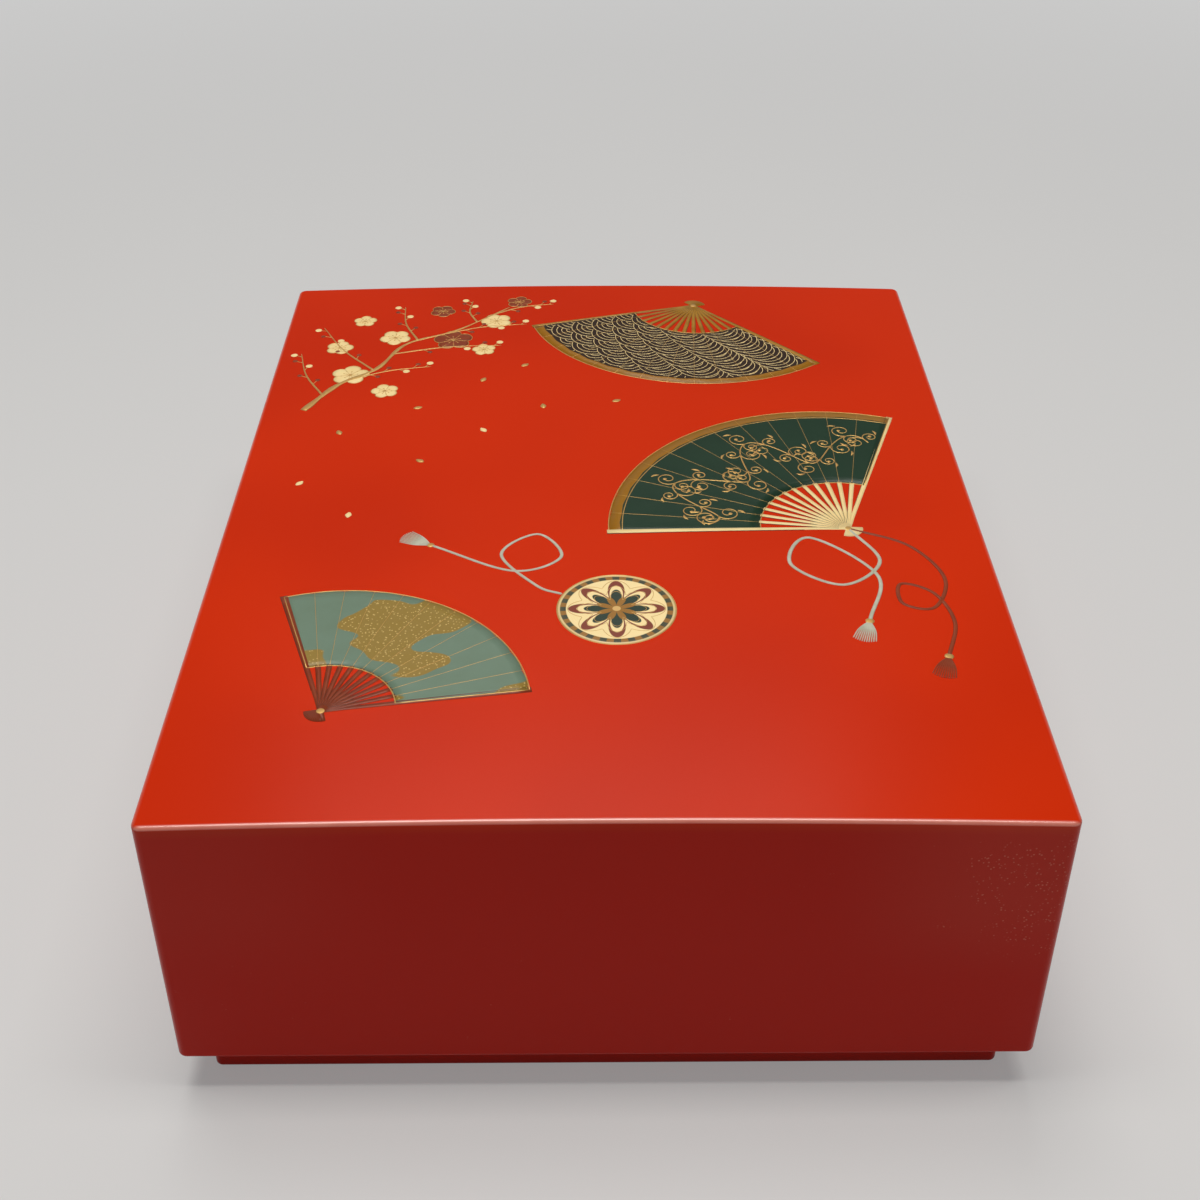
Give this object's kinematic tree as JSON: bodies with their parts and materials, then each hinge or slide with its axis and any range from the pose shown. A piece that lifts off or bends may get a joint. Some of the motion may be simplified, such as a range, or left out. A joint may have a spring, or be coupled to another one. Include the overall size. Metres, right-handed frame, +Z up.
{
  "type": "writing box",
  "caption": "Deep lacquered Japanese writing box: full overlapping lid, and a lift-out tray holding an inkstone, a water dropper, an ink stick and capped brushes.",
  "frame": {"origin": "on the table, under the middle of the case", "axes": "+X to the writer's right, +Y away from the writer along the box's length, +Z up"},
  "size_m": [0.26, 0.342, 0.1097],
  "materials": {
    "lid_lacquer": "vermilion lacquer over wood, satin gloss, black lacquer inside",
    "case_lacquer": "vermilion lacquer over wood, satin gloss, black lacquer inside",
    "slip_wood": "bare, under the lacquer",
    "tray_lacquer": "polished black lacquer over wood",
    "slate": "honed slate",
    "copper": "brown patinated copper",
    "ink_soot": "moulded soot and glue, satin",
    "bamboo": "natural bamboo skin",
    "horn": "polished dark horn",
    "brush_hair": "combed goat hair"
  },
  "bodies": {
    "case": {"case_floor_panel": "case_lacquer", "case_wall_front": "case_lacquer", "case_wall_back": "case_lacquer", "case_wall_left": "case_lacquer", "case_wall_right": "case_lacquer", "case_corner_slips": "slip_wood", "tray_ledge_left": "tray_lacquer", "tray_ledge_right": "tray_lacquer"},
    "lid": {"lid_top_panel": "lid_lacquer", "lid_wall_front": "lid_lacquer", "lid_wall_back": "lid_lacquer", "lid_wall_left": "lid_lacquer", "lid_wall_right": "lid_lacquer", "lid_corner_slips": "slip_wood"},
    "tray": {"tray_floor_board": "tray_lacquer", "tray_wall_front": "tray_lacquer", "tray_wall_back": "tray_lacquer", "tray_wall_left": "tray_lacquer", "tray_wall_right": "tray_lacquer", "tray_partition_left": "tray_lacquer", "tray_partition_right": "tray_lacquer", "inkstone_bed": "tray_lacquer", "brush_rest_front": "tray_lacquer", "brush_rest_back": "tray_lacquer"},
    "inkstone": {"inkstone": "slate"},
    "dropper": {"dropper_cup": "copper", "dropper_top": "copper"},
    "ink_stick": {"ink_stick": "ink_soot"},
    "brush_1": {"brush_1_handle": "bamboo", "brush_1_tail": "horn", "brush_1_collar": "horn", "brush_1_hair": "brush_hair"},
    "brush_1_cap": {"brush_1_cap": "bamboo"},
    "brush_2": {"brush_2_handle": "bamboo", "brush_2_tail": "horn", "brush_2_collar": "horn", "brush_2_hair": "brush_hair"},
    "brush_2_cap": {"brush_2_cap": "bamboo"}
  },
  "joints": [
    {"name": "lid_lift", "type": "slide", "parent": "case", "child": "lid", "axis": [0, 0, 1], "range_m": [0, 0.25]},
    {"name": "tray_lift", "type": "slide", "parent": "case", "child": "tray", "axis": [0, 0, 1], "range_m": [0, 0.08]},
    {"name": "inkstone_lift", "type": "slide", "parent": "tray", "child": "inkstone", "axis": [0, 0, 1], "range_m": [0, 0.04]},
    {"name": "dropper_lift", "type": "slide", "parent": "tray", "child": "dropper", "axis": [0, 0, 1], "range_m": [0, 0.04]},
    {"name": "ink_stick_lift", "type": "slide", "parent": "tray", "child": "ink_stick", "axis": [0, 0, 1], "range_m": [0, 0.04]},
    {"name": "brush_1_lift", "type": "slide", "parent": "tray", "child": "brush_1", "axis": [0, 0, 1], "range_m": [0, 0.03]},
    {"name": "brush_2_lift", "type": "slide", "parent": "tray", "child": "brush_2", "axis": [0, 0, 1], "range_m": [0, 0.03]},
    {"name": "brush_1_cap_slide", "type": "slide", "parent": "brush_1", "child": "brush_1_cap", "axis": [0, 1, 0], "range_m": [0, 0.045]},
    {"name": "brush_2_cap_slide", "type": "slide", "parent": "brush_2", "child": "brush_2_cap", "axis": [0, 1, 0], "range_m": [0, 0.045]}
  ],
  "couplings": [
    {"joint": "tray_lift", "follows": "lid_lift", "ratio": 0.32},
    {"joint": "inkstone_lift", "follows": "lid_lift", "ratio": 0.16},
    {"joint": "dropper_lift", "follows": "lid_lift", "ratio": 0.16},
    {"joint": "ink_stick_lift", "follows": "lid_lift", "ratio": 0.16},
    {"joint": "brush_1_lift", "follows": "lid_lift", "ratio": 0.12},
    {"joint": "brush_2_lift", "follows": "lid_lift", "ratio": 0.12}
  ]
}
